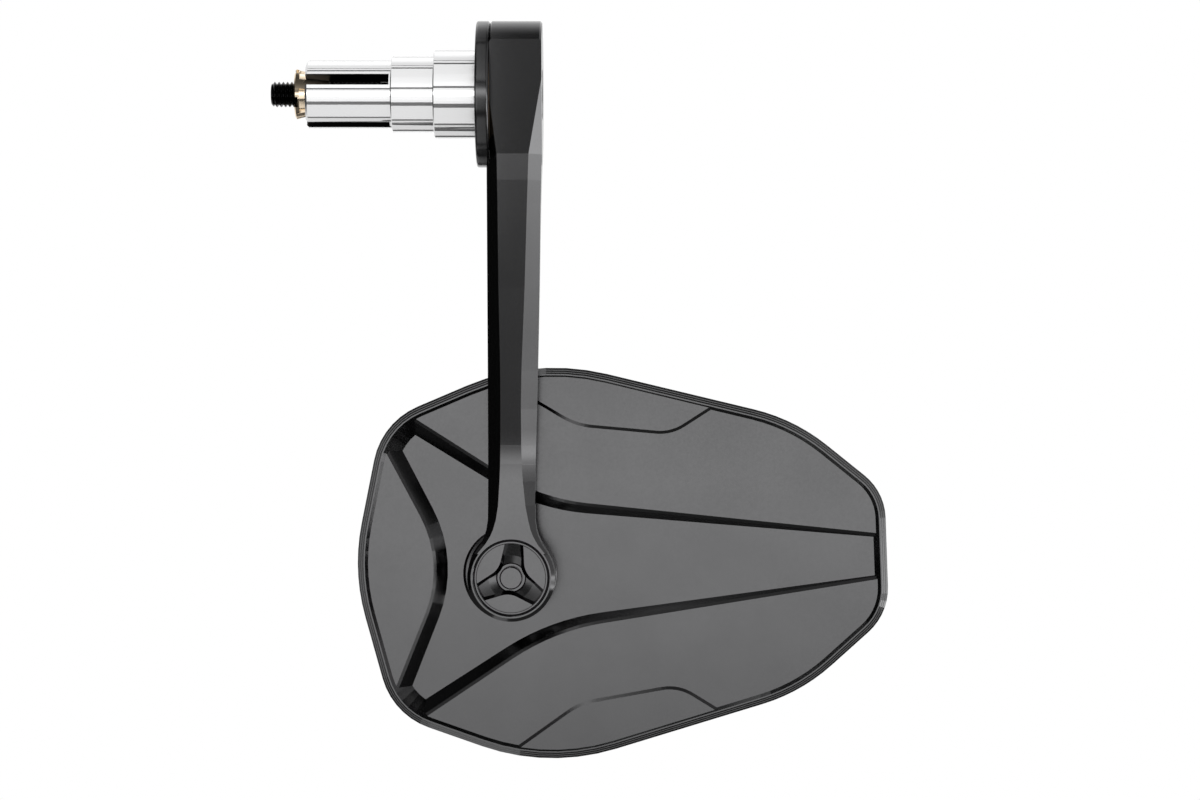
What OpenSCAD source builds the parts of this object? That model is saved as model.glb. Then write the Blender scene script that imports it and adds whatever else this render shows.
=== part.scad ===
// Motorcycle bar end mirror: an expanding sleeve that is clamped inside the handlebar tube,
// a leaning arm that swings round the bar, and a nine-sided mirror head on a ball joint.
// The origin is the flange face that butts on the bar end, on the bar axis.
// +X runs outward along the bar, +Z is up, and +Y points to the glass side.

/* [Bar sleeve] */
// Diameter of the slotted inner step
step_small_d = 16; // [15:0.1:17]
// Diameter of the middle step
step_mid_d = 17.8; // [17.2:0.1:19]
// Diameter of the outer step, next to the flange
step_large_d = 20.8; // [19.6:0.1:22.4]
// Length of the slotted inner step
step_small_l = 20; // [16:0.5:26]
// Length of the middle step
step_mid_l = 10; // [6:0.5:16]
// Length of the outer step
step_large_l = 10; // [6:0.5:16]
// Width of the four slots that let the sleeve spread
slot_w = 2.8; // [2:0.1:3.4]
// How far the first slot is turned up from the rider's side
slot_turn = 21; // [0:1:45]
// Chamfer on the outer edges of the steps
sleeve_chamfer = 0.5; // [0.2:0.1:0.8]

/* [Wedge nut] */
// Diameter of the wedge nut at its outer end
wedge_d = 11.8; // [11.2:0.1:12.6]
// Length of the wedge nut
wedge_l = 8; // [6:0.5:10]
// How far the wedge nut stands out of the sleeve
wedge_out = 2.7; // [1.5:0.1:4]
// Taper of the nut's core, which spreads the sleeve
wedge_taper = 6; // [3:0.5:8]
// Taper of the four keys that run in the slots
key_taper = 12; // [9:0.5:13]
// Thickness of the collar at the outer end
collar_t = 1.1; // [0.7:0.1:1.6]

/* [Clamp bolt] */
// Thread diameter of the clamp bolt
bolt_d = 6; // [5:0.5:6.5]
// Length of the clamp bolt under its head
bolt_l = 60; // [56:0.5:66]
// Diameter of the bolt head
bolt_head_d = 10; // [9:0.5:11]
// Height of the bolt head
bolt_head_h = 3.8; // [3:0.1:4]
// Width across the flats of the hexagon socket
bolt_hex_w = 4; // [3:0.5:5]
// Thickness of the flat washer
flat_washer_t = 1; // [0.6:0.1:1.4]
// Thickness of the spring washer
spring_washer_t = 1.2; // [0.8:0.1:1.5]

/* [Flange disc] */
// Diameter of the flange disc and of the arm's head
disc_d = 34.4; // [30:0.2:38]
// Thickness of the flange disc
disc_t = 3.1; // [2.6:0.1:4]
// Rounding of the disc's edges
disc_edge = 0.5; // [0.2:0.1:0.8]
// Diameter of the spigot that the arm turns on
spigot_d = 15; // [14:0.5:17]
// Length of the spigot
spigot_l = 2.2; // [1.5:0.1:3]

/* [Arm] */
// Distance from the bar axis down to the ball joint
arm_reach = 114.3; // [100:0.1:130]
// Place of the joint along the bar axis
joint_x = 7.9; // [7.4:0.1:8.6]
// Thickness of the arm's head along the bar axis
head_t = 12.2; // [11.6:0.1:14]
// Depth of the recess for the bolt head
head_recess = 6.1; // [5.6:0.1:6.4]
// Diameter of the recess for the bolt head
head_recess_d = 12; // [11.6:0.2:14]
// Chamfer on the outer rim of the arm's head
head_chamfer = 0.45; // [0.2:0.05:0.8]
// Lean of the head's front flat
head_lean = 11.5; // [9:0.5:13]
// Height of the upper edge of the front flat
flat_top = 11.6; // [9:0.2:13]
// Radius of the flare between the shank and the joint housing
flare_r = 14; // [10:0.5:18]

/* [Ball joint] */
// Outside diameter of the joint housing at the arm's end
hub_d = 20.8; // [20.4:0.1:22]
// Chamfer round the front of the joint housing
hub_chamfer = 0.85; // [0.5:0.05:1]
// Place of the joint housing's front face behind the bar axis
hub_front = 2.5; // [2:0.1:3]
// Depth of the joint housing
hub_t = 13.7; // [13.2:0.1:15]
// Diameter of the ball
ball_d = 10; // [9:0.2:10.4]
// Thickness of the liner round the ball
liner_t = 0.7; // [0.5:0.05:0.9]
// Diameter of the stud that carries the mirror head
stud_d = 5; // [4:0.5:5.5]
// Half angle of the mouth that the stud swings in
mouth_angle = 46; // [43:1:48]
// Depth of the ball's centre behind the joint housing's front face
ball_depth = 8.7; // [8.6:0.05:8.9]
// Wall of the joint housing round the threaded ring
hub_wall = 1.55; // [1.3:0.05:1.65]
// Width of the threaded ring round the cap
ring_w = 0.55; // [0.4:0.05:0.65]
// Gap between the ring and the cap's three raised pads
cap_gap = 0.15; // [0.1:0.05:0.4]
// Height of the pads above the channels
pad_h = 1.3; // [0.8:0.1:1.5]
// How far the pads' sides lean out over their height
pad_draft = 0.66; // [0.2:0.02:0.9]
// Distance from the cap's axis to the blunt nose of a pad
pad_nose = 3.95; // [3.6:0.05:4.4]
// Angle between a pad's sides and its middle line
pad_angle = 68; // [62:1:72]
// Where the cap comes to rest when it is tight
cap_turn = 5.3; // [-60:0.1:60]
// Diameter of the flat hub in the middle of the cap
cap_hub_d = 4.85; // [4.2:0.05:5.4]

/* [Mirror head] */
// Height of the head's rim plane behind the ball's centre
rim_back = 6; // [5.8:0.1:7]
// Width of the stepped bevel round the rim
bevel_w = 1.5; // [1:0.1:2]
// Number of fine steps in the bevel
bevel_steps = 3; // [2:1:5]
// Depth of the panels below the rim
panel_drop = 0.8; // [0.5:0.1:1.2]
// Height of the raised sub-panels above the panels
sub_panel_h = 0.4; // [0.2:0.05:0.6]
// Depth of the star-shaped valley at the joint axis
valley_drop = 2.7; // [1.8:0.1:3]
// Slope of the valley floor, which rises towards the wide side
valley_slope = 1.35; // [0.5:0.05:1.6]
// Overall depth of the head's rim
head_depth = 9.6; // [9.4:0.1:12]
// Depth of the recess for the glass
glass_recess = 2.8; // [2.4:0.1:3]
// Width of the rim round the glass
glass_rim_w = 1.5; // [1:0.1:2.2]
// Thickness of the glass
glass_t = 2; // [1.6:0.1:2.4]
// Radius of the convex glass
glass_r = 1000; // [800:50:1400]
// Diameter of the pedestal that the stud is screwed into
pedestal_d = 19.4; // [18:0.2:22]
// Fillet between the pedestal and the valley's floor
pedestal_fillet = 1.8; // [1:0.1:2]

/* [Hidden] */
$fn = 72;

// Clearances and small margins
run_gap = 0.05;
face_gap = 0.05;
wedge_gap = 0.15;
bolt_gap = 0.3;
washer_gap = 0.4;
mouth_gap = 0.2;
sleeve_sunk = 0.6;
seat_relief = 0.2;
cut_over = 1;
weld = 0.5;

// Places along the bar axis
sleeve_l = step_small_l + step_mid_l + step_large_l;
head_x = disc_t + 0.1;
outer_x = head_x + head_t;
recess_x = outer_x - head_recess;
bolt_seat_x = recess_x + face_gap + flat_washer_t + spring_washer_t;
wedge_x = -sleeve_l - wedge_out;
bolt_bore_d = bolt_d + 2 * bolt_gap;
key_w = slot_w - 2 * wedge_gap;
spigot_wall = 1;
spigot_in_r = spigot_d / 2 - spigot_wall;
end_r = step_large_d / 2 - 0.4;
washer_out_r = 13;
washer_sunk = 0.6;

// Radius of the wedge nut's core, and of the keys, at a place along the bar axis
core_drop = 0.85;
function core_r(x) = wedge_d / 2 - core_drop - (x - wedge_x) * tan(wedge_taper);
function key_r(x) = wedge_d / 2 - (x - wedge_x) * tan(key_taper);

// Places in the ball joint and the mirror head, along Y
ball_y = hub_front + ball_depth;
liner_in_r = ball_d / 2 + run_gap;
liner_out_r = liner_in_r + liner_t;
seat_in_r = liner_out_r + run_gap;
seat_wall = 1.7;
seat_r = seat_in_r + seat_wall;
seat_bore_r = seat_r + run_gap;
seat_split = 0.5;
hub_rear = hub_front + hub_t;
hub_dome = 1.8;
hub_rear_lip = 1.1;
ring_d = hub_d - 2 * hub_wall;
ring_bore_d = ring_d - 2 * ring_w;
cap_d = ring_bore_d - 2 * cap_gap;
ring_depth = 3.4;
ring_lip = 0.25;
pad_top_y = hub_front + 0.1;
cap_base_y = pad_top_y + pad_h;
cap_base_t = 1.4;
spring_pair_h = 1.2;
front_seat_y = cap_base_y + cap_base_t + spring_pair_h;
rear_seat_y = hub_rear - hub_rear_lip;
rim_y = ball_y + rim_back;
panel_y = rim_y + panel_drop;
valley_y = panel_y + valley_drop;
pedestal_y = rim_y + 0.9;
back_y = rim_y + head_depth;
glass_floor_y = back_y - glass_recess;
glass_peak_y = back_y + 1.8;
stud_washer_t = 0.5;
stud_nut_t = 2.4;
stud_nut_w = 8;
stud_floor_y = valley_y + 0.2;
nut_pocket_r = 6.5;

// Points on each rounded corner of the head's outline, and of the shapes inside it
head_steps = 7;
inner_steps = 8;

// Unit vector, and the turn at a corner of an outline: positive to the left
function unit(v) = v / norm(v);
function turn_at(p, c, n) = (c[0] - p[0]) * (n[1] - c[1]) - (c[1] - p[1]) * (n[0] - c[0]);

// Arc at one corner [x, z, radius] of an outline, moved inward by inset
function corner_arc(p, c, n, inset, steps) =
    let (c2 = [c[0], c[1]],
         u = unit([p[0], p[1]] - c2),
         v = unit([n[0], n[1]] - c2),
         half = acos(u * v) / 2,
         hub = c2 + unit(u + v) * c[2] / sin(half),
         side = turn_at(p, c, n) > 0 ? 1 : -1,
         from = c2 + u * c[2] / tan(half) - hub,
         start = atan2(from[1], from[0]),
         sweep = side * (180 - 2 * half),
         r = c[2] - side * inset)
    [for (k = [0 : steps]) hub + r * [cos(start + sweep * k / steps), sin(start + sweep * k / steps)]];

// Closed outline with rounded corners, moved inward by inset
function outline(corners, inset, steps) =
    let (n = len(corners))
    [for (i = [0 : n - 1])
        each corner_arc(corners[(i + n - 1) % n], corners[i], corners[(i + 1) % n], inset, steps)];

// Solid through rings of points with equal counts, anticlockwise seen from the first ring
module loft(rings) {
    n = len(rings[0]);
    m = len(rings);
    points = [for (ring = rings) each ring];
    sides = [for (j = [0 : m - 2], i = [0 : n - 1])
        [j * n + i, j * n + (i + 1) % n, (j + 1) * n + (i + 1) % n, (j + 1) * n + i]];
    start = [for (i = [0 : n - 1]) n - 1 - i];
    end = [for (i = [0 : n - 1]) (m - 1) * n + i];
    polyhedron(points, concat([start], sides, [end]), convexity = 6);
}

// Loft of an outline on the mirror head: each layer is [inset, y]
module head_loft(corners, layers, steps) {
    loft([for (layer = layers)
        [for (q = outline(corners, layer[0], steps)) [joint_x + q[0], layer[1], q[1] - arm_reach]]]);
}

// Turns a solid of revolution from +Z to +X, or to +Y through the ball's axis
module along_x() { rotate([0, 90, 0]) children(); }
module on_joint_axis() { translate([joint_x, 0, -arm_reach]) rotate([-90, 0, 0]) children(); }

// Plain ring between two radii
module ring(r_out, r_in, from, to) {
    translate([0, 0, from]) difference() {
        cylinder(r = r_out, h = to - from);
        translate([0, 0, -cut_over]) cylinder(r = r_in, h = to - from + 2 * cut_over);
    }
}

// Bar sleeve: three turned steps, slotted and tapered inside where the wedge nut enters
module step_sleeve() {
    small_r = step_small_d / 2;
    mid_r = step_mid_d / 2;
    large_r = step_large_d / 2;
    mid_x = -step_large_l - step_mid_l;
    mouth_r = core_r(-sleeve_l) + wedge_gap;
    throat_x = wedge_x + wedge_l + wedge_out;
    throat_r = core_r(throat_x) + wedge_gap;
    bore_step_x = mid_x + 2;
    slot_land = 0.4;
    color("lightgray") difference() {
        along_x() rotate_extrude() polygon([
            [0, -sleeve_l], [small_r - sleeve_chamfer, -sleeve_l], [small_r, -sleeve_l + sleeve_chamfer],
            [small_r, mid_x], [mid_r - sleeve_chamfer / 2, mid_x], [mid_r, mid_x + sleeve_chamfer / 2],
            [mid_r, -step_large_l], [large_r - sleeve_chamfer / 2, -step_large_l],
            [large_r, -step_large_l + sleeve_chamfer / 2], [large_r, 0], [end_r, 0], [end_r, sleeve_sunk],
            [spigot_in_r, sleeve_sunk], [spigot_in_r, disc_t / 2], [0, disc_t / 2]]);
        along_x() rotate_extrude() polygon([
            [0, -sleeve_l - cut_over], [mouth_r + tan(wedge_taper) * cut_over, -sleeve_l - cut_over],
            [throat_r, throat_x], [throat_r, bore_step_x], [bolt_bore_d / 2, bore_step_x + cut_over],
            [bolt_bore_d / 2, disc_t + cut_over], [0, disc_t + cut_over]]);
        for (k = [0 : 3])
            rotate([-slot_turn - 90 * k, 0, 0])
                translate([-sleeve_l - cut_over, -small_r - cut_over, -slot_w / 2])
                    cube([step_small_l + cut_over - slot_land, small_r + cut_over, slot_w]);
    }
}

// Flange disc: butts on the bar end, holds the sleeve's end and carries the arm's spigot
module flange_disc() {
    inner_r = disc_d / 2 - disc_edge;
    color("#1b1b1c") difference() {
        along_x() union() {
            rotate_extrude() polygon([
                [0, 0], [inner_r, 0],
                each [for (a = [18 : 18 : 90])
                    [inner_r + disc_edge * sin(a), disc_edge - disc_edge * cos(a)]],
                each [for (a = [0 : 18 : 72])
                    [inner_r + disc_edge * cos(a), disc_t - disc_edge + disc_edge * sin(a)]],
                [inner_r, disc_t], [0, disc_t]]);
            cylinder(d = spigot_d, h = disc_t + spigot_l);
        }
        along_x() translate([0, 0, -cut_over])
            cylinder(d = bolt_bore_d, h = disc_t + spigot_l + 2 * cut_over);
        along_x() translate([0, 0, -cut_over])
            cylinder(r = step_large_d / 2 + run_gap, h = seat_relief + cut_over);
        along_x() translate([0, 0, -cut_over]) cylinder(r = end_r + run_gap, h = sleeve_sunk + cut_over);
        along_x() translate([0, 0, -cut_over]) cylinder(r = spigot_in_r, h = disc_t / 2 + cut_over);
        along_x() ring(washer_out_r, spigot_d / 2 - weld, disc_t - washer_sunk, disc_t + cut_over);
        along_x() ring(spigot_d / 2 + run_gap, spigot_d / 2, disc_t - washer_sunk, disc_t);
    }
}

// Friction washer: thin fibre ring that lies in the flange disc and rubs on the arm's head
module friction_washer() {
    color("#3a3129") along_x()
        ring(washer_out_r, spigot_d / 2 + run_gap, disc_t - washer_sunk, head_x - face_gap);
}

// Clamp bolt: low-headed screw with a hexagon socket, its thread end pointed
module clamp_bolt() {
    end_x = bolt_seat_x - bolt_l;
    top_x = bolt_seat_x + bolt_head_h;
    r = bolt_d / 2;
    head_r = bolt_head_d / 2;
    point = 0.6;
    edge = 0.4;
    color("#161616") difference() {
        along_x() rotate_extrude() polygon([
            [0, end_x], [r - point, end_x], [r, end_x + point], [r, bolt_seat_x],
            [head_r, bolt_seat_x], [head_r, top_x - edge], [head_r - edge, top_x], [0, top_x]]);
        along_x() translate([0, 0, bolt_seat_x + bolt_head_h * 0.3])
            cylinder(d = bolt_hex_w / cos(30), h = bolt_head_h, $fn = 6);
    }
}

// Flat washer under the clamp bolt's spring washer
module bolt_washer() {
    color("#2a2a2c") along_x()
        ring(head_recess_d / 2 - washer_gap, bolt_d / 2 + bolt_gap, recess_x + face_gap,
             recess_x + face_gap + flat_washer_t);
}

// Split spring washer under the clamp bolt's head
module bolt_spring_washer() {
    split_w = 0.8;
    color("#2a2a2c") difference() {
        along_x() ring(bolt_head_d / 2, bolt_d / 2 + bolt_gap, bolt_seat_x - spring_washer_t, bolt_seat_x);
        translate([bolt_seat_x - spring_washer_t / 2, 0, bolt_head_d / 2]) rotate([0, 0, 30])
            cube([4 * spring_washer_t, split_w, bolt_head_d], center = true);
    }
}

// Wedge nut: tapered core with four keys for the sleeve's slots, and a notched collar
module wedge_nut() {
    collar_x = wedge_x + collar_t;
    inner_x = wedge_x + wedge_l;
    edge = 0.3;
    notch_depth = collar_t * 0.8;
    color("#d8c4a0") difference() {
        union() {
            along_x() rotate_extrude() polygon([
                [0, wedge_x], [key_r(wedge_x) - edge, wedge_x], [key_r(wedge_x), wedge_x + edge],
                [key_r(collar_x), collar_x], [core_r(collar_x), collar_x],
                [core_r(inner_x), inner_x], [0, inner_x]]);
            intersection() {
                along_x() rotate_extrude() polygon([
                    [0, wedge_x], [key_r(wedge_x) - edge, wedge_x], [key_r(wedge_x), wedge_x + edge],
                    [key_r(inner_x), inner_x], [0, inner_x]]);
                for (k = [0 : 1])
                    rotate([-slot_turn - 90 * k, 0, 0])
                        translate([wedge_x, -wedge_d / 2, -key_w / 2]) cube([wedge_l, wedge_d, key_w]);
            }
        }
        along_x() translate([0, 0, wedge_x - cut_over])
            cylinder(r = bolt_d / 2 + run_gap, h = wedge_l + 2 * cut_over);
        for (k = [0 : 3])
            rotate([45 - slot_turn - 90 * k, 0, 0])
                translate([wedge_x - cut_over, -wedge_d, -key_w / 2])
                    cube([notch_depth + cut_over, wedge_d, key_w]);
    }
}

// Arm's outline seen from the side: front line from the head's flat down to the joint housing
function flat_y(z) = -sqrt(pow(disc_d / 2, 2) - pow(flat_top, 2)) + (flat_top - z) * tan(head_lean);
function lean_y(from, z, angle) = from[1] + (from[0] - z) * tan(angle);
line_top = 0.58 * disc_d;
bend_high = -0.127 * arm_reach;
bend_low = -0.18 * arm_reach;
front_a = [bend_high, flat_y(bend_high)];
front_b = [bend_low, lean_y(front_a, bend_low, 7.3)];
front_c = [-0.4 * arm_reach, lean_y(front_b, -0.4 * arm_reach, 8.4)];
front_d = [-0.57 * arm_reach, lean_y(front_c, -0.57 * arm_reach, 8)];
front_e = [-0.725 * arm_reach, hub_front - 0.2];
front_f = [-0.765 * arm_reach, hub_front];
front_line = [[line_top, flat_y(line_top)], front_a, front_b, front_c, front_d, front_e, front_f,
              [-arm_reach, hub_front]];
function front_y(z) = lookup(z, front_line);

// Arm's rear line, from inside the head to the joint housing
rear_line = [[-8, 13.2], [-12, 11.4], [-15, 9.6], [-19, 7.7], [-24, 6.3], [-30, 5.4],
             [-0.39 * arm_reach, 5.5], [-0.53 * arm_reach, 6.9], [-0.65 * arm_reach, 8.8],
             [-0.74 * arm_reach, 10.6], [-0.83 * arm_reach, 12.5], [-0.9 * arm_reach, 13.9],
             [-0.96 * arm_reach, hub_rear - hub_dome], [-arm_reach, hub_rear - hub_dome]];
function rear_y(z) = lookup(z, rear_line);

// Arm's sides seen from the front, flared into the joint housing
shank_left = head_x - 0.8;
hub_side = outer_x - 1.9;
function shank_right(z) = lookup(z, [[0, outer_x], [-14, outer_x - 0.05], [-26, outer_x - 0.35],
    [-48, outer_x - 0.7], [-0.57 * arm_reach, outer_x - 1.1], [-0.78 * arm_reach, outer_x - 1.8],
    [-arm_reach, hub_side]]);
function flare(z, half) =
    let (rise = sqrt(pow(hub_d / 2 + flare_r, 2) - pow(half + flare_r, 2)), dz = rise - arm_reach - z)
    dz <= 0 ? 0 : flare_r - sqrt(pow(flare_r, 2) - pow(min(dz, flare_r), 2));
function left_x(z) = shank_left - flare(z, joint_x - shank_left);
function right_x(z) = shank_right(z) + flare(z, hub_side - joint_x);

// Width of the bevels along the arm's front edges
function left_bevel(z) = lookup(z, [[8, -0.5], [4.3, 0], [-14, 2.44], [-26, 2.6], [-48, 2.75],
    [-0.56 * arm_reach, 3.05], [-0.68 * arm_reach, 3.07], [-0.78 * arm_reach, 2.92],
    [-0.85 * arm_reach, 2.45], [-0.88 * arm_reach, 1.95], [-0.914 * arm_reach, 1.4],
    [-0.95 * arm_reach, 0.7]]);
function right_bevel(z) = lookup(z, [[8, -0.9], [2.7, 0], [-14, 3.04], [-26, 3.15], [-48, 3.5],
    [-0.56 * arm_reach, 3.85], [-0.68 * arm_reach, 3.7], [-0.78 * arm_reach, 3.1], [-0.85 * arm_reach, 2.26],
    [-0.88 * arm_reach, 1.6], [-0.914 * arm_reach, 1.2], [-0.95 * arm_reach, 0.7]]);

// Levels at which the arm's shank and its bevels are drawn
shank_levels = [-8, -12, -15, bend_low, -26, -34, -0.4 * arm_reach, -0.48 * arm_reach, -0.57 * arm_reach,
                -0.65 * arm_reach, -0.72 * arm_reach, -0.8 * arm_reach, -0.85 * arm_reach,
                -0.88 * arm_reach, -0.9 * arm_reach, -0.914 * arm_reach, -0.93 * arm_reach,
                -0.95 * arm_reach];
bevel_levels = [8, 4, 0, bend_high, bend_low, -26, -34, -0.4 * arm_reach, -0.48 * arm_reach,
                -0.57 * arm_reach, -0.65 * arm_reach, -0.725 * arm_reach, -0.765 * arm_reach,
                -0.8 * arm_reach, -0.85 * arm_reach, -0.88 * arm_reach, -0.9 * arm_reach,
                -0.914 * arm_reach, -0.93 * arm_reach, -0.95 * arm_reach];
rear_chamfer = 0.8;

// Shank of the arm, still square at the front
module shank() {
    loft([for (z = shank_levels)
        let (l = left_x(z), r = right_x(z), f = front_y(z) - 2, b = rear_y(z), c = rear_chamfer)
        [[l, f, z], [r, f, z], [r, b - c, z], [r - c, b, z], [l + c, b, z], [l, b - c, z]]]);
}

// Wedge that takes off one front edge: side is 1 at the left edge and -1 at the right
module edge_bevel(side) {
    loft([for (z = bevel_levels)
        let (w = side > 0 ? left_bevel(z) : right_bevel(z),
             x = side > 0 ? left_x(z) : right_x(z),
             f = front_y(z),
             out = [x - side * cut_over, f - cut_over, z],
             low = [x + side * (w + cut_over), f - cut_over, z],
             high = [x - side * cut_over, f + w + cut_over, z])
        side > 0 ? [out, low, high] : [low, out, high]]);
}

// Everything in front of the arm's front line
module front_cut() {
    far = disc_d + head_t;
    loft([for (p = front_line)
        [[-far, -far, p[0]], [far, -far, p[0]], [far, p[1], p[0]], [-far, p[1], p[0]]]]);
}

// Joint housing at the arm's end, with a domed rear face round the stud's mouth
module joint_hub() {
    r = hub_d / 2;
    edge = 0.6;
    on_joint_axis() rotate_extrude() polygon([
        [0, hub_front], [r - hub_chamfer, hub_front], [r, hub_front + hub_chamfer], [r, hub_rear - hub_dome],
        [r - edge, hub_rear - hub_dome + edge], [seat_in_r, hub_rear], [0, hub_rear]]);
}

// Arm: milled from one bar, with the round head, the leaning shank and the joint housing
module arm() {
    r = disc_d / 2;
    mouth_y = seat_in_r * cos(mouth_angle);
    mouth_r = seat_in_r * sin(mouth_angle) + mouth_gap;
    mouth_flare = 0.6;
    bore_r = ring_d / 2;
    bore_chamfer = 0.35;
    notch_gap = 0.25;
    color("#1d1d1e") difference() {
        union() {
            difference() {
                union() {
                    along_x() rotate_extrude() polygon([
                        [0, head_x], [r - disc_edge, head_x], [r, head_x + disc_edge],
                        [r, outer_x - head_chamfer], [r - head_chamfer, outer_x], [0, outer_x]]);
                    shank();
                }
                front_cut();
                edge_bevel(1);
                edge_bevel(-1);
            }
            joint_hub();
        }
        along_x() translate([0, 0, shank_left - cut_over])
            cylinder(r = r + notch_gap, h = head_x + cut_over - shank_left);
        along_x() cylinder(r = spigot_d / 2 + run_gap, h = disc_t + spigot_l + 4 * face_gap);
        along_x() cylinder(d = bolt_bore_d, h = outer_x);
        along_x() translate([0, 0, recess_x]) cylinder(d = head_recess_d, h = head_recess + cut_over);
        on_joint_axis() rotate_extrude() polygon([
            [0, hub_front - cut_over], [bore_r + bore_chamfer + cut_over, hub_front - cut_over],
            [bore_r, hub_front + bore_chamfer], [bore_r, hub_front + ring_depth],
            [0, hub_front + ring_depth]]);
        on_joint_axis() translate([0, 0, hub_front]) cylinder(r = seat_bore_r, h = rear_seat_y - hub_front);
        on_joint_axis() rotate_extrude() polygon([
            [0, rear_seat_y - cut_over], [mouth_r, rear_seat_y - cut_over], [mouth_r, ball_y + mouth_y],
            [mouth_r + mouth_flare, hub_rear + cut_over], [0, hub_rear + cut_over]]);
    }
}

// Threaded ring in the front of the joint housing: the cap is screwed down into it
module retaining_ring() {
    r = ring_d / 2;
    bore_r = ring_bore_d / 2;
    ledge_r = seat_r - 0.4;
    sunk = 0.25;
    face_y = hub_front + sunk;
    color("#262627") on_joint_axis() rotate_extrude() polygon([
        [bore_r, face_y], [r - ring_lip, face_y], [r, face_y + ring_lip], [r, hub_front + ring_depth],
        [ledge_r, hub_front + ring_depth], [ledge_r, cap_base_y + cap_base_t],
        [bore_r, cap_base_y + cap_base_t]]);
}

// Joint cap: three pads with channels between them for the pin spanner, round a flat hub
module joint_cap() {
    base_r = ring_bore_d / 2;
    hub_r = cap_hub_d / 2;
    hub_edge = 0.3;
    groove_r = hub_r + 1.15;
    groove_depth = 0.9;
    ridge_r = 5.35;
    fall = 0.35;
    color("#242425") on_joint_axis() union() {
        rotate_extrude() polygon([
            [0, pad_top_y], [hub_r, pad_top_y], [hub_r + hub_edge, pad_top_y + hub_edge],
            [hub_r + hub_edge, cap_base_y + groove_depth], [groove_r - hub_edge, cap_base_y + groove_depth],
            [groove_r, cap_base_y + fall], [ridge_r, cap_base_y], [base_r, cap_base_y + fall],
            [base_r, cap_base_y + cap_base_t], [0, cap_base_y + cap_base_t]]);
        for (k = [0 : 2]) rotate([0, 0, 90 + cap_turn + 120 * k]) cap_pad();
    }
}

// One pad of the cap: blunt nose, leaning sides and a round outer edge
module cap_pad() {
    nose_r = 5;
    corner_r = 0.5;
    depth = pad_h + weld;
    tip = pad_nose - nose_r * (1 / sin(pad_angle) - 1);
    reach = cap_d * 0.8;
    corners = [[tip, 0, nose_r],
               [tip + reach * cos(pad_angle), -reach * sin(pad_angle), corner_r],
               [tip + reach * cos(pad_angle), reach * sin(pad_angle), corner_r]];
    intersection() {
        translate([0, 0, pad_top_y]) cylinder(d = cap_d, h = depth);
        loft([for (layer = [[0, pad_top_y], [-pad_draft * depth / pad_h, pad_top_y + depth]])
            [for (q = outline(corners, layer[0], inner_steps)) [q[0], -q[1], layer[1]]]]);
    }
}

// Pair of cupped spring washers between the cap and the front seat
module disc_springs() {
    from = cap_base_y + cap_base_t;
    to = front_seat_y - face_gap;
    mid = (from + to) / 2;
    out_r = seat_r - 0.5;
    in_r = 4.2;
    t = 0.35;
    color("#8f8f93") on_joint_axis() rotate_extrude() union() {
        polygon([[in_r, from], [out_r, mid - t], [out_r, mid], [in_r, from + t]]);
        polygon([[in_r, to - t], [out_r, mid], [out_r, mid + t], [in_r, to]]);
    }
}

// Seats: two rings with a hollow sphere inside that grip the liner from both sides
module seat(from, to) {
    on_joint_axis() difference() {
        translate([0, 0, from]) cylinder(r = seat_r, h = to - from);
        translate([0, 0, ball_y]) sphere(r = seat_in_r, $fn = 96);
    }
}

module ball_seat_front() {
    color("#b9b6ae") seat(front_seat_y, ball_y - seat_split);
}

module ball_seat_rear() {
    mouth_r = seat_in_r * sin(mouth_angle);
    color("#b9b6ae") difference() {
        seat(ball_y + seat_split, rear_seat_y - face_gap);
        on_joint_axis() translate([0, 0, ball_y]) cylinder(r = mouth_r, h = hub_t);
    }
}

// Liner: thin slippery shell round the ball, open towards the stud and the cap
module ball_liner() {
    open_r = liner_out_r * sin(mouth_angle);
    front_share = 0.6;
    color("#e6e2d6") on_joint_axis() difference() {
        translate([0, 0, ball_y]) sphere(r = liner_out_r, $fn = 96);
        translate([0, 0, ball_y]) sphere(r = liner_in_r, $fn = 96);
        translate([0, 0, ball_y]) cylinder(r = open_r, h = hub_t);
        translate([0, 0, ball_y - hub_t]) cylinder(r = open_r * front_share, h = hub_t);
    }
}

// Ball stud: ball, neck and the threaded end that goes through the pedestal
module ball_stud() {
    r = stud_d / 2;
    stand_out = 0.2;
    point = 0.4;
    end_y = stud_floor_y + stud_washer_t + stud_nut_t + stand_out;
    color("#c9c9cc") on_joint_axis() union() {
        translate([0, 0, ball_y]) sphere(d = ball_d, $fn = 96);
        translate([0, 0, ball_y]) cylinder(r = r, h = end_y - point - ball_y);
        translate([0, 0, end_y - point]) cylinder(r1 = r, r2 = r - point, h = point);
    }
}

// Outline of the mirror head round the joint's axis: corners as [x, z, radius]
head_corners = [[91.1, -9.6, 14.3], [90.1, 20, 13.7], [68.2, 37.6, 45.2], [5.3, 52.7, 54.3],
                [-31.8, 36.9, 17.9], [-38.9, 0.9, 48.6], [-29.1, -34.1, 17.7], [8.6, -47.3, 52.2],
                [69.9, -28.6, 44.4]];

// Star-shaped valley: its arms run out at two corners and at the wide end
valley_corners = [[94.9, -0.1, 4.5], [94.9, 9.3, 4.5], [6.8, 18.4, 48], [-41.1, 48.8, 4.5], [-16.3, 2.7, 28],
                  [-34.9, -43.8, 4.5], [10, -13.7, 55]];

// Raised sub-panels along the upper and the lower rim
upper_sub_corners = [[51.3, 42, 2], [46.1, 61.6, 2], [-7.9, 61.6, 2], [-4.3, 47.4, 2], [15.2, 35.8, 18],
                     [38.4, 33.7, 11]];
lower_sub_corners = [[53.8, -34.9, 2], [40.1, -26.5, 11], [16.1, -30.8, 18], [-3.1, -44.5, 2],
                     [-7.9, -60.4, 2], [52.1, -60.4, 2]];

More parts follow.
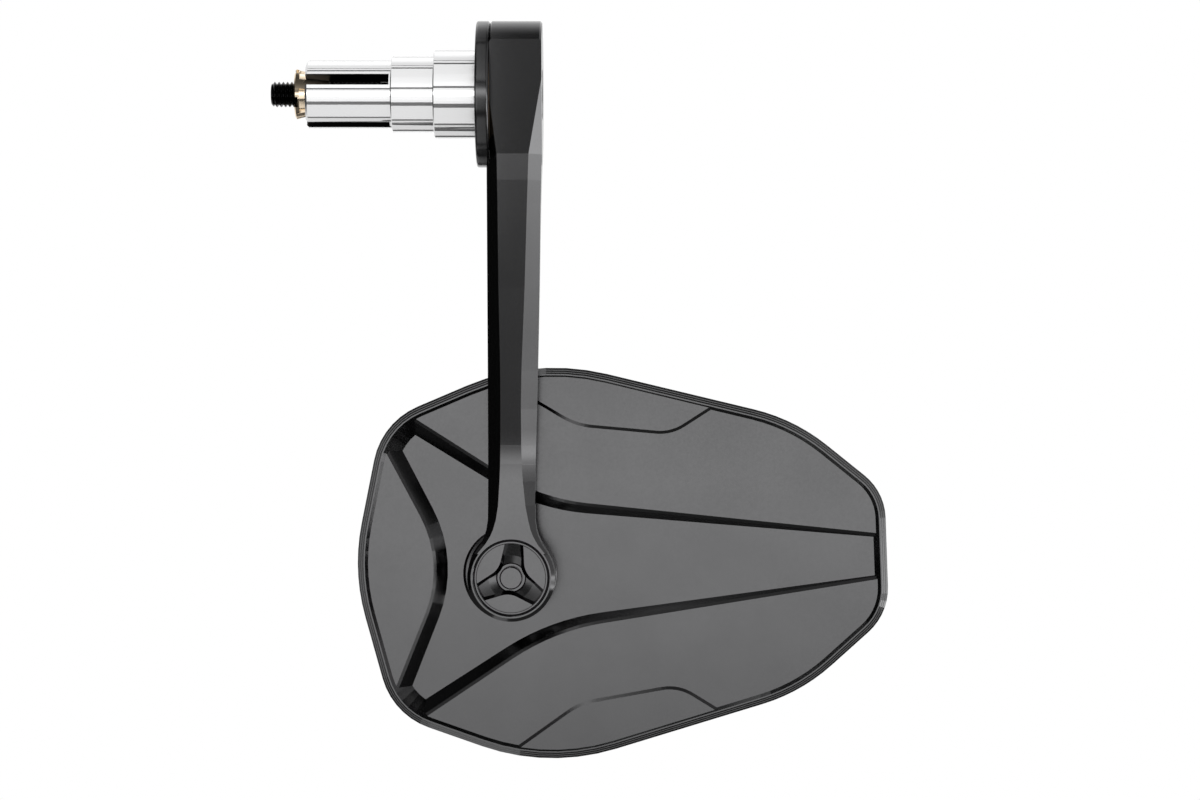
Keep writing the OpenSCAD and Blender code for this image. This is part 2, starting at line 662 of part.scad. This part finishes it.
// Slope of the wall inside the rim: how far it goes inward for each millimetre of depth
wall_slope = 0.94;
rim_land = 0.3;
function wall_inset(y) = bevel_w + rim_land + (y - rim_y) * wall_slope;

// Blank of the mirror head with the fine steps of its bevel
module head_blank() {
    pitch = bevel_w / bevel_steps;
    tread = 0.12;
    drop = 0.5;
    edge = 0.35;
    bevel = [for (k = [0 : bevel_steps - 1])
        each [[bevel_w - k * pitch, rim_y + k * drop],
              [bevel_w - (k + 1) * pitch + tread, rim_y + (k + 1) * drop]]];
    head_loft(head_corners, concat(bevel,
        [[0, rim_y + bevel_steps * drop + tread], [0, back_y - edge], [edge, back_y]]), head_steps);
}

// Sub-panel with its sloped border, as a solid that reaches up out of the panel
module sub_panel(corners) {
    border = 0.75;
    foot = 0.1;
    head_loft(corners, [[border, panel_y - sub_panel_h], [0, panel_y - foot], [0, panel_y + cut_over]],
        inner_steps);
}

// Recess inside the rim, down to the panels
module panel_recess() {
    difference() {
        head_loft(head_corners,
            [[wall_inset(rim_y - cut_over), rim_y - cut_over], [wall_inset(panel_y), panel_y]], head_steps);
        sub_panel(upper_sub_corners);
        sub_panel(lower_sub_corners);
    }
}

// Valley between the panels: ledge, sloped walls and a floor that rises to the wide end
module valley() {
    ledge = 0.75;
    lip_y = panel_y + 0.12;
    ledge_y = panel_y + 0.35;
    deep = 3.6;
    far = 80;
    intersection() {
        head_loft(valley_corners, [[0, panel_y - cut_over], [0, lip_y], [ledge, ledge_y],
            [ledge + deep * wall_slope, ledge_y + deep]], inner_steps);
        head_loft(head_corners, [[wall_inset(rim_y - cut_over), rim_y - cut_over],
            [wall_inset(panel_y + deep + ledge), panel_y + deep + ledge]], head_steps);
        translate([joint_x, valley_y, -arm_reach]) rotate([0, 0, -valley_slope])
            translate([-far, -2 * far, -far]) cube([3 * far, 2 * far, 2 * far]);
    }
}

// Pedestal that the ball stud is screwed into, with a fillet that runs out on the valley floor
module pedestal() {
    r = pedestal_d / 2;
    f = pedestal_fillet;
    edge = 0.4;
    run_out = 0.9;
    on_joint_axis() rotate_extrude() polygon([
        [0, pedestal_y], [r - edge, pedestal_y], [r, pedestal_y + edge],
        each [for (a = [0 : 18 : 90]) [r + f - f * cos(a), valley_y - f + f * sin(a)]],
        [r + f + run_out, valley_y + edge], [r + f + run_out, valley_y + weld], [0, valley_y + weld]]);
}

// Mirror housing: milled shell with the relief on its back and the glass recess in front
module mirror_housing() {
    color("#3c3c3e") difference() {
        union() {
            difference() {
                head_blank();
                panel_recess();
                valley();
                head_loft(head_corners, [[glass_rim_w, glass_floor_y], [glass_rim_w, back_y + cut_over]],
                    head_steps);
            }
            pedestal();
        }
        on_joint_axis() translate([0, 0, pedestal_y - cut_over]) cylinder(d = stud_d, h = head_depth);
        on_joint_axis() translate([0, 0, stud_floor_y])
            cylinder(r = nut_pocket_r, h = glass_floor_y - stud_floor_y + weld);
    }
}

// Washer and nut that pull the ball stud tight, in the pocket behind the glass
module stud_washer() {
    color("#9a9a9e") on_joint_axis()
        ring(nut_pocket_r - 1.1, stud_d / 2, stud_floor_y, stud_floor_y + stud_washer_t);
}

module stud_nut() {
    from = stud_floor_y + stud_washer_t;
    color("#9a9a9e") on_joint_axis() difference() {
        translate([0, 0, from]) cylinder(d = stud_nut_w / cos(30), h = stud_nut_t, $fn = 6);
        translate([0, 0, from - cut_over]) cylinder(d = stud_d, h = stud_nut_t + 2 * cut_over);
    }
}

// Domed solid below the glass's curve: centre of the dome at the middle of the head
dome_x = 26;
dome_z = 2;
dome_over = 4;
function dome_drop(r) = glass_r - sqrt(glass_r * glass_r - r * r);
module dome(peak) {
    reach = 84;
    rings = 14;
    height = 30;
    translate([joint_x + dome_x, 0, dome_z - arm_reach]) rotate([-90, 0, 0]) rotate_extrude($fn = 96)
        polygon([[0, peak - height], [reach, peak - height],
            each [for (k = [0 : rings]) let (r = reach * (1 - k / rings)) [r, peak - dome_drop(r)]]]);
}

// Glass carrier: moulded plate glued in the recess, domed to the glass
module glass_carrier() {
    inset = glass_rim_w + 0.6;
    color("#19191a") difference() {
        intersection() {
            head_loft(head_corners, [[inset, glass_floor_y], [inset, back_y + dome_over]], head_steps);
            dome(glass_peak_y - glass_t);
        }
        on_joint_axis() translate([0, 0, glass_floor_y - cut_over])
            cylinder(r = stud_d / 2 + bolt_gap, h = cut_over + bolt_gap);
    }
}

// Mirror glass: convex plate of even thickness with the outline of the recess
module mirror_glass() {
    inset = glass_rim_w + 0.2;
    color("#c8d4da") intersection() {
        head_loft(head_corners, [[inset, glass_floor_y], [inset, back_y + dome_over]], head_steps);
        difference() {
            dome(glass_peak_y);
            dome(glass_peak_y - glass_t);
        }
    }
}

step_sleeve();
flange_disc();
friction_washer();
clamp_bolt();
bolt_washer();
bolt_spring_washer();
wedge_nut();
arm();
retaining_ring();
joint_cap();
disc_springs();
ball_seat_front();
ball_seat_rear();
ball_liner();
ball_stud();
mirror_housing();
stud_washer();
stud_nut();
glass_carrier();
mirror_glass();
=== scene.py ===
import math

import bmesh
import bpy
from mathutils import Matrix, Vector


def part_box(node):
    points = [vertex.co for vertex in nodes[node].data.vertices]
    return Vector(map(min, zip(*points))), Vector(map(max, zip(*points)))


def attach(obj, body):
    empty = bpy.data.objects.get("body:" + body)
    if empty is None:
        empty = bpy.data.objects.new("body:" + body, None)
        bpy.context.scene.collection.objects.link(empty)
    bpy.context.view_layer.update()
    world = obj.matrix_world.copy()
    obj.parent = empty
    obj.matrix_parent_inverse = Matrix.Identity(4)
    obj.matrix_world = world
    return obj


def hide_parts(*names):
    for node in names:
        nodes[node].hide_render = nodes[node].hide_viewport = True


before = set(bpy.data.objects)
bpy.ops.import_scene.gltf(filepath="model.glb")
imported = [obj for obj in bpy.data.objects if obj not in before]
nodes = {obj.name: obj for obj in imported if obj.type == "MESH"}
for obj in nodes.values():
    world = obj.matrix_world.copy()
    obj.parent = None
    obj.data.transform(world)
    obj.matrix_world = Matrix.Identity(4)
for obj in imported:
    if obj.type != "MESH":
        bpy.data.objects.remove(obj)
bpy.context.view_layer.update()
scene = bpy.context.scene
scene.view_settings.view_transform = "Standard"

# Studio: a white sweep behind the mirror, a soft light behind the camera, a black flag on the left and a
# tall pale wall on the right. All of it is the world's colour by direction.
world = bpy.data.worlds.new("studio")
scene.world = world
world.use_nodes = True
sky = world.node_tree
sky.nodes.clear()


def math_node(tree, operation, a, b=None, c=None):
    """A math node whose inputs are sockets or plain numbers; returns its output."""
    node = tree.nodes.new("ShaderNodeMath")
    node.operation = operation
    for socket, value in zip(node.inputs, (a, b, c)):
        if isinstance(value, (int, float)):
            socket.default_value = value
        elif value is not None:
            tree.links.new(value, socket)
    return node.outputs[0]


def ramp_node(tree, factor, stops):
    """A colour ramp with grey or coloured stops; returns its colour output."""
    node = tree.nodes.new("ShaderNodeValToRGB")
    ramp = node.color_ramp
    while len(ramp.elements) < len(stops):
        ramp.elements.new(0.5)
    for element, (place, value) in zip(ramp.elements, stops):
        element.position = place
        element.color = (*value, 1) if isinstance(value, tuple) else (value, value, value, 1)
    tree.links.new(factor, node.inputs[0])
    return node.outputs[0]


def mix_node(tree, factor, a, b):
    """Mixes two colours, each a socket, a colour or a grey level; returns the colour output."""
    node = tree.nodes.new("ShaderNodeMix")
    node.data_type = "RGBA"
    sockets = (node.inputs[0], node.inputs[6], node.inputs[7])
    for socket, value in zip(sockets, (factor, a, b)):
        if isinstance(value, (int, float)):
            socket.default_value = value if socket is sockets[0] else (value, value, value, 1)
        elif isinstance(value, tuple):
            socket.default_value = (*value, 1)
        else:
            tree.links.new(value, socket)
    return node.outputs[2]


# Brightness by the angle up from the camera's side, over the top and down behind, in degrees.
STUDIO = [(-180, 1.0), (-150, 0.9), (-128, 0.6), (-112, 0.4), (-102, 0.2), (-88, 0.06), (-78, 0.04),
          (-60, 0.06), (-40, 0.1), (-27, 0.08), (-18, 0.22), (-14, 0.2), (-10, 0.4), (-6.5, 1.15),
          (-2, 1.9), (1.5, 1.9), (3.5, 0.7), (6, 0.15), (11.6, 0.03), (14.8, 0.03), (16, 0.25),
          (22, 0.3), (32, 0.15), (48, 0.08), (60, 0.06), (86, 0.05), (104, 0.08), (118, 0.4),
          (130, 0.8), (150, 0.95), (180, 1.0)]
STUDIO_TOP = 3.2
# Where the right wall, the left flag and the sweep begin, over X or Y from -1 at 0 to +1 at 1.
RIGHT_WALL = [(0.0, 0.0), (0.66, 0.0), (0.86, 1.0), (1.0, 1.0)]
LEFT_FLAG = [(0.0, 1.0), (0.2, 1.0), (0.36, 0.0), (1.0, 0.0)]
SWEEP = [(0.0, 0.0), (0.6, 0.0), (0.75, 1.0), (1.0, 1.0)]
# The right wall's brightness over Z in the same way, as shares of STUDIO_TOP, and the flag's.
WALL_LEVEL = [(0.0, 0.9), (0.34, 1.0), (0.365, 0.85), (0.385, 0.55), (0.4, 0.3), (0.42, 0.24),
              (0.45, 0.6), (0.475, 0.9), (0.49, 0.6), (0.51, 0.14), (1.0, 0.12)]
FLAG_LEVEL = 0.004

axes = sky.nodes.new("ShaderNodeSeparateXYZ")
sky.links.new(sky.nodes.new("ShaderNodeTexCoord").outputs["Generated"], axes.inputs[0])


def over_axis(axis, stops):
    """A ramp over one axis of the direction, from -1 at the ramp's 0 to +1 at its 1."""
    return ramp_node(sky, math_node(sky, "MULTIPLY_ADD", axes.outputs[axis], 0.5, 0.5), stops)


front = math_node(sky, "MULTIPLY", axes.outputs["Y"], -1.0)
angle = math_node(sky, "ARCTAN2", axes.outputs["Z"], front)
turn = math_node(sky, "MULTIPLY_ADD", angle, 0.5 / math.pi, 0.5)
profile = ramp_node(sky, turn, [(0.5 + a / 360, v / STUDIO_TOP) for a, v in STUDIO])
behind = over_axis("Y", SWEEP)
side = mix_node(sky, over_axis("X", RIGHT_WALL), profile, over_axis("Z", WALL_LEVEL))
flag = math_node(sky, "MULTIPLY", over_axis("X", LEFT_FLAG), math_node(sky, "SUBTRACT", 1.0, behind))
side = mix_node(sky, flag, side, FLAG_LEVEL)
eye = sky.nodes.new("ShaderNodeLightPath").outputs["Is Camera Ray"]
background = sky.nodes.new("ShaderNodeBackground")
background.inputs["Strength"].default_value = STUDIO_TOP
sky.links.new(mix_node(sky, eye, side, 1.0 / STUDIO_TOP), background.inputs["Color"])
sky.links.new(background.outputs[0], sky.nodes.new("ShaderNodeOutputWorld").inputs[0])

# Camera: it looks straight at the back of the mirror's head, level with the middle of the part's height,
# through a long lens from about 0.7 m.
CAMERA_PLACE = (0.029, -0.708, -0.0721)
LENS_MM = 90
SENSOR_MM = 36
camera_data = bpy.data.cameras.new("camera")
camera_data.lens = LENS_MM
camera_data.sensor_width = SENSOR_MM
camera = bpy.data.objects.new("camera", camera_data)
camera.location = CAMERA_PLACE
camera.rotation_euler = (math.radians(90), 0, 0)
scene.collection.objects.link(camera)
scene.camera = camera

# Floor: a plain round board, painted grey, well below the mirror. A glow that only the camera sees lifts
# it to near white.
FLOOR_R = 0.9
FLOOR_PLACE = (0.03, 0.0, -0.42)
FLOOR_GREY = 0.3
FLOOR_GLOW = 0.8
floor_mesh = bpy.data.meshes.new("floor")
floor_form = bmesh.new()
bmesh.ops.create_circle(floor_form, cap_ends=True, segments=64, radius=FLOOR_R)
floor_form.to_mesh(floor_mesh)
floor_form.free()
floor = bpy.data.objects.new("floor", floor_mesh)
floor.location = FLOOR_PLACE
scene.collection.objects.link(floor)
floor_paint = bpy.data.materials.new("floor_paint")
floor_paint.use_nodes = True
paint = floor_paint.node_tree
paint.nodes.clear()
dull = paint.nodes.new("ShaderNodeBsdfDiffuse")
dull.inputs["Color"].default_value = (FLOOR_GREY, FLOOR_GREY, FLOOR_GREY, 1)
glow = paint.nodes.new("ShaderNodeEmission")
glow.inputs["Strength"].default_value = FLOOR_GLOW
both = paint.nodes.new("ShaderNodeAddShader")
paint.links.new(dull.outputs[0], both.inputs[0])
paint.links.new(glow.outputs[0], both.inputs[1])
pick = paint.nodes.new("ShaderNodeMixShader")
paint.links.new(paint.nodes.new("ShaderNodeLightPath").outputs["Is Camera Ray"], pick.inputs[0])
paint.links.new(dull.outputs[0], pick.inputs[1])
paint.links.new(both.outputs[0], pick.inputs[2])
paint.links.new(pick.outputs[0], paint.nodes.new("ShaderNodeOutputMaterial").inputs[0])
floor_mesh.materials.append(floor_paint)

# Bar sleeve: aluminium bar, turned to three steps, slotted and polished bright. The bore and the slots' walls
# are painted near black, as painted shade for these recesses. Narrow soft panels over and under it keep it
# white, and the gaps between them show in it as thin dark lines.
PANEL_OVERHANG = 0.006
SLEEVE_SPAN = (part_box("step_sleeve")[0].x - PANEL_OVERHANG, 0.0)
# About how far the camera stands from the bar's axis.
CAMERA_REACH = 0.7
# Each panel: the angles that it fills, up from the camera's side in degrees, its reach and its brightness.
SLEEVE_PANELS = [(-28.6, 10.6, 0.12, 0.98), (15.6, 48, 0.3, 1.0), (48, 78.5, 0.3, 0.95),
                 (83.5, 91, 0.3, 0.9), (93, 140, 0.3, 0.85), (-86, -40, 0.3, 0.8),
                 (-107, -92, 0.3, 0.7), (-140, -110, 0.3, 0.7)]
# A face whose normal leans less than this along the axis and outward is a slot's wall, and one that leans
# more than this inward is the bore.
LEAN = 0.5


def sleeve_panel(name, low, high, reach, level):
    """A soft rectangular lamp that faces the bar axis, as long as the sleeve's reflection at its reach."""
    left, right = (x - reach * (camera.location.x - x) / CAMERA_REACH for x in SLEEVE_SPAN)
    mid = (left + right) / 2
    middle = math.radians((low + high) / 2)
    half = math.radians((high - low) / 2)
    data = bpy.data.lights.new(name, "AREA")
    data.shape = "RECTANGLE"
    data.size = right - left
    data.size_y = 2 * reach * math.tan(half)
    data.energy = level * math.pi * (right - left) * (2 * reach * math.tan(half))
    lamp = bpy.data.objects.new(name, data)
    lamp.location = (mid, -reach * math.cos(middle), reach * math.sin(middle))
    toward = (Vector((mid, 0, 0)) - lamp.location).normalized()
    along = Vector((1, 0, 0))
    lamp.rotation_euler = Matrix((along, toward.cross(along) * -1, -toward)).transposed().to_euler()
    lamp.visible_camera = False
    scene.collection.objects.link(lamp)


for k, (low, high, reach, level) in enumerate(SLEEVE_PANELS):
    sleeve_panel(f"sleeve_panel_{k}", low, high, reach, level)


def metal(name, colour, roughness, spread=0.04, grain=1800, bump=0.000004):
    """Satin or polished metal: a base colour with faint cloudiness, uneven gloss and a fine blasted grain."""
    material = bpy.data.materials.new(name)
    material.use_nodes = True
    tree = material.node_tree
    shader = tree.nodes["Principled BSDF"]
    shader.inputs["Metallic"].default_value = 1.0
    place = tree.nodes.new("ShaderNodeTexCoord").outputs["Object"]
    cloud = tree.nodes.new("ShaderNodeTexNoise")
    cloud.inputs["Scale"].default_value = 60
    cloud.inputs["Detail"].default_value = 3
    tree.links.new(place, cloud.inputs["Vector"])
    dark = tuple(c * (1 - spread) for c in colour)
    light = tuple(c * (1 + spread) for c in colour)
    tones = ramp_node(tree, cloud.outputs["Fac"], [(0.3, dark), (0.7, light)])
    tree.links.new(tones, shader.inputs["Base Color"])
    fine = tree.nodes.new("ShaderNodeTexNoise")
    fine.inputs["Scale"].default_value = grain
    fine.inputs["Detail"].default_value = 2
    tree.links.new(place, fine.inputs["Vector"])
    dullness = ramp_node(tree, fine.outputs["Fac"], [(0.3, roughness * 0.92), (0.7, roughness * 1.08)])
    tree.links.new(dullness, shader.inputs["Roughness"])
    height = tree.nodes.new("ShaderNodeBump")
    height.inputs["Strength"].default_value = 0.35
    height.inputs["Distance"].default_value = bump
    tree.links.new(fine.outputs["Fac"], height.inputs["Height"])
    tree.links.new(height.outputs["Normal"], shader.inputs["Normal"])
    return material


def dress(node, material):
    """Puts a material on a CAD node."""
    mesh = nodes[node].data
    mesh.materials.clear()
    mesh.materials.append(material)


polished = metal("polished_aluminium", (0.95, 0.95, 0.955), 0.05, spread=0.01, grain=3000, bump=0.0000005)
polished.node_tree.nodes["Principled BSDF"].inputs["Metallic"].default_value = 0.75
dress("step_sleeve", polished)
sleeve_mesh = nodes["step_sleeve"].data
# A second, near-black metal for the bore and the slots' walls: painted shade in these recesses, not the cut
# metal's colour.
sleeve_mesh.materials.append(metal("bore_and_slot_walls_painted_shade", (0.03, 0.03, 0.031), 0.4))
for face in sleeve_mesh.polygons:
    outward = Vector((0, face.center.y, face.center.z)).normalized()
    faces_out = face.normal.dot(outward)
    slot_wall = abs(face.normal.x) < LEAN and abs(faces_out) < LEAN
    if slot_wall or faces_out < -LEAN:
        face.material_index = 1

# Wedge nut: turned and milled aluminium, anodised pale gold. The bolt draws it into the sleeve, and its
# four keys in the slots stop it from turning.
dress("wedge_nut", metal("pale_gold", (0.94, 0.78, 0.58), 0.12, spread=0.05))

# Clamp bolt: M6 cap screw of black zinc plated steel, with its flat washer and spring washer. Its rolled
# thread is cut here in full, in place of the CAD node's plain shank.
THREAD_R = 0.003
THREAD_DEPTH = 0.00052
THREAD_PITCH = 0.001
THREAD_LENGTH = 0.026
THREAD_STEEPNESS = 1.25
THREAD_CREST = 0.12
POINT_LENGTH = 0.0006
POINT_DEPTH = 1.2 * THREAD_DEPTH
POINTS_AROUND = 48
RINGS_PER_TURN = 12
HEAD_LAP = 0.0002
WELD = 1e-7
black_steel = metal("black_steel", (0.018, 0.018, 0.019), 0.2, spread=0.08)


def threaded_rod(start):
    """Rings of points along X whose radius follows a helical thread, closed at both ends."""
    form = bmesh.new()
    rings = round(THREAD_LENGTH / THREAD_PITCH * RINGS_PER_TURN)
    grid = []
    for i in range(rings + 1):
        x = start + THREAD_LENGTH * i / rings
        point = min(1.0, (x - start) / POINT_LENGTH)
        ring = []
        for j in range(POINTS_AROUND):
            turn = j / POINTS_AROUND
            phase = ((x - start) / THREAD_PITCH - turn) % 1.0
            groove = min(1.0, max(0.0, abs(phase - 0.5) * 2 * THREAD_STEEPNESS - THREAD_CREST))
            r = min(THREAD_R - THREAD_DEPTH * groove, THREAD_R - POINT_DEPTH * (1 - point))
            a = 2 * math.pi * turn
            ring.append(form.verts.new((x, r * math.cos(a), r * math.sin(a))))
        grid.append(ring)
    for low, high in zip(grid, grid[1:]):
        for j in range(POINTS_AROUND):
            k = (j + 1) % POINTS_AROUND
            form.faces.new((low[j], high[j], high[k], low[k]))
    form.faces.new(grid[0])
    form.faces.new(list(reversed(grid[-1])))
    bmesh.ops.recalc_face_normals(form, faces=form.faces)
    return form


bolt_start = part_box("clamp_bolt")[0].x
head_form = bmesh.new()
head_form.from_mesh(nodes["clamp_bolt"].data)
bmesh.ops.remove_doubles(head_form, verts=head_form.verts, dist=WELD)
geometry = head_form.verts[:] + head_form.edges[:] + head_form.faces[:]
head_start = (bolt_start + THREAD_LENGTH - HEAD_LAP, 0, 0)
cut = bmesh.ops.bisect_plane(head_form, geom=geometry, plane_co=head_start, plane_no=(1, 0, 0),
                             clear_inner=True)
rim = [e for e in cut["geom_cut"] if isinstance(e, bmesh.types.BMEdge)]
bmesh.ops.edgeloop_fill(head_form, edges=rim)
head_mesh = bpy.data.meshes.new("clamp_bolt_head")
head_form.to_mesh(head_mesh)
head_form.free()
bolt_form = threaded_rod(bolt_start)
bolt_form.from_mesh(head_mesh)
bolt_mesh = bpy.data.meshes.new("clamp_bolt_threaded")
bolt_form.to_mesh(bolt_mesh)
bolt_form.free()
bolt = bpy.data.objects.new("clamp_bolt_threaded", bolt_mesh)
scene.collection.objects.link(bolt)
bolt_mesh.materials.append(black_steel)
for face in bolt_mesh.polygons:
    face.use_smooth = True
bolt_mesh.set_sharp_from_angle(angle=math.radians(35))
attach(bolt, "bolt")
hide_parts("clamp_bolt")
dress("bolt_washer", black_steel)
dress("bolt_spring_washer", black_steel)

# Flange disc, retaining ring and joint cap: turned and milled aluminium, fine blasted and anodised black to
# a satin gloss. The disc butts on the bar's end, and the ring holds the cap in the arm.
BLACK = (0.113, 0.113, 0.115)
ANODISED_ROUGHNESS = 0.16
anodised = metal("black_anodised", BLACK, ANODISED_ROUGHNESS)
for part in ("flange_disc", "retaining_ring", "joint_cap"):
    dress(part, anodised)

# Arm: milled from one piece of aluminium and anodised black like the disc. The cutter ran over its lower
# bends, so they are soft, which the material gives to the flat facets by their normals.
FRONT_FACING = -0.3
# Each bend: its height in the part's frame, its half width along the arm and its change of slope.
BENDS = [(-0.0829, 0.0038, 0.07), (-0.0874, 0.0038, 0.06)]
arm_finish = metal("arm_anodised", BLACK, ANODISED_ROUGHNESS)
tree = arm_finish.node_tree
grain_bump = tree.nodes["Bump"]
where = tree.nodes.new("ShaderNodeTexCoord")
along = tree.nodes.new("ShaderNodeSeparateXYZ")
tree.links.new(where.outputs["Object"], along.inputs[0])
facing = tree.nodes.new("ShaderNodeSeparateXYZ")
tree.links.new(where.outputs["Normal"], facing.inputs[0])
fill = 0.0
for place, half, slope in BENDS:
    away = math_node(tree, "ABSOLUTE", math_node(tree, "SUBTRACT", along.outputs["Z"], place))
    near = math_node(tree, "MAXIMUM", math_node(tree, "SUBTRACT", half, away), 0.0)
    swell = math_node(tree, "MULTIPLY", math_node(tree, "POWER", near, 2.0), slope / (4 * half))
    fill = math_node(tree, "ADD", swell, fill)
front_side = math_node(tree, "LESS_THAN", facing.outputs["Y"], FRONT_FACING)
bend_bump = tree.nodes.new("ShaderNodeBump")
bend_bump.inputs["Strength"].default_value = 1.0
bend_bump.inputs["Distance"].default_value = 1.0
tree.links.new(math_node(tree, "MULTIPLY", fill, front_side), bend_bump.inputs["Height"])
tree.links.new(bend_bump.outputs["Normal"], grain_bump.inputs["Normal"])
dress("arm", arm_finish)


# Friction washer: a ring of pressed fibre, dull brown. It lies between the flange disc and the arm's head
# and lets the arm turn with an even drag.
def dull_stuff(name, dark, light, roughness, scale, bump):
    """Plain moulded or pressed stuff: two tones of one colour, dull, with a grain."""
    material = bpy.data.materials.new(name)
    material.use_nodes = True
    tree = material.node_tree
    shader = tree.nodes["Principled BSDF"]
    shader.inputs["Roughness"].default_value = roughness
    place = tree.nodes.new("ShaderNodeTexCoord").outputs["Object"]
    grain = tree.nodes.new("ShaderNodeTexNoise")
    grain.inputs["Scale"].default_value = scale
    grain.inputs["Detail"].default_value = 5
    tree.links.new(place, grain.inputs["Vector"])
    tones = ramp_node(tree, grain.outputs["Fac"], [(0.35, dark), (0.65, light)])
    tree.links.new(tones, shader.inputs["Base Color"])
    height = tree.nodes.new("ShaderNodeBump")
    height.inputs["Strength"].default_value = 0.5
    height.inputs["Distance"].default_value = bump
    tree.links.new(grain.outputs["Fac"], height.inputs["Height"])
    tree.links.new(height.outputs["Normal"], shader.inputs["Normal"])
    return material


fibre = dull_stuff("pressed_fibre", (0.07, 0.05, 0.03), (0.15, 0.11, 0.07), 0.8, 900, 0.00003)
dress("friction_washer", fibre)

# Ball joint's steel: cupped springs, the ball with its stud, and the stud's washer and nut, all zinc plated.
# The springs press the seats on the ball, and the nut pulls the stud tight in the housing.
plated = metal("zinc_plated", (0.62, 0.62, 0.65), 0.2, spread=0.06)
for part in ("disc_springs", "ball_stud", "stud_washer", "stud_nut"):
    dress(part, plated)

# Ball seats and liner: two turned bronze rings, and between them and the ball a thin shell of natural
# acetal, which lets the ball slip.
bronze = metal("turned_bronze", (0.60, 0.42, 0.24), 0.25, spread=0.08)
for part in ("ball_seat_front", "ball_seat_rear"):
    dress(part, bronze)
acetal = dull_stuff("natural_acetal", (0.78, 0.76, 0.70), (0.85, 0.83, 0.78), 0.4, 300, 0.00001)
dress("ball_liner", acetal)

# Mirror housing: a nine-sided shell, milled from aluminium plate with the relief on its back, and anodised
# black a shade duller than the arm.
HOUSING_ROUGHNESS = 0.18
dress("mirror_housing", metal("housing_anodised", BLACK, HOUSING_ROUGHNESS))

# Glass carrier: a moulded plate of black plastic with a fine grain. It is glued in the housing's recess and
# carries the glass.
plastic = dull_stuff("carrier_plastic", (0.012, 0.012, 0.012), (0.02, 0.02, 0.02), 0.55, 2200, 0.00002)
dress("glass_carrier", plastic)

# Mirror glass: convex, silvered on its back, with a ground edge that is dull and greenish. Its faces get the
# curve's own normals, so that it mirrors smoothly.
GLASS_R = 1.0
GROUND_EDGE = (0.25, 0.33, 0.31)
CURVED_FACE = 0.9
glass = bpy.data.materials.new("silvered_glass")
glass.use_nodes = True
tree = glass.node_tree
shader = tree.nodes["Principled BSDF"]
shader.inputs["Metallic"].default_value = 1.0
where = tree.nodes.new("ShaderNodeTexCoord")
facing = tree.nodes.new("ShaderNodeSeparateXYZ")
tree.links.new(where.outputs["Normal"], facing.inputs[0])
flat = math_node(tree, "ABSOLUTE", facing.outputs["Y"])
haze = tree.nodes.new("ShaderNodeTexNoise")
haze.inputs["Scale"].default_value = 25
tree.links.new(where.outputs["Object"], haze.inputs["Vector"])
silver = ramp_node(tree, haze.outputs["Fac"], [(0.3, (0.84, 0.87, 0.88)), (0.7, (0.87, 0.90, 0.91))])
edge = ramp_node(tree, flat, [(0.5, 1.0), (0.8, 0.0)])
tree.links.new(mix_node(tree, edge, silver, GROUND_EDGE), shader.inputs["Base Color"])
tree.links.new(ramp_node(tree, flat, [(0.5, 0.35), (0.8, 0.012)]), shader.inputs["Roughness"])
glass_form = bmesh.new()
glass_form.from_mesh(nodes["mirror_glass"].data)
bmesh.ops.remove_doubles(glass_form, verts=glass_form.verts, dist=WELD)
glass_mesh = bpy.data.meshes.new("polished_glass")
glass_form.to_mesh(glass_mesh)
glass_form.free()
peak = max((v.co for v in glass_mesh.vertices), key=lambda co: co.y)
curve_centre = peak - Vector((0, GLASS_R, 0))
corner_normals = []
for face in glass_mesh.polygons:
    face.use_smooth = True
    for corner in face.loop_indices:
        point = glass_mesh.vertices[glass_mesh.loops[corner].vertex_index].co
        out = (point - curve_centre).normalized()
        curved = abs(face.normal.y) > CURVED_FACE
        corner_normals.append(out * (1 if face.normal.y > 0 else -1) if curved else face.normal.copy())
glass_mesh.normals_split_custom_set(corner_normals)
glass_mesh.materials.clear()
glass_mesh.materials.append(glass)
polished_glass = bpy.data.objects.new("polished_glass", glass_mesh)
scene.collection.objects.link(polished_glass)
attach(polished_glass, "mirror")
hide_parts("mirror_glass")
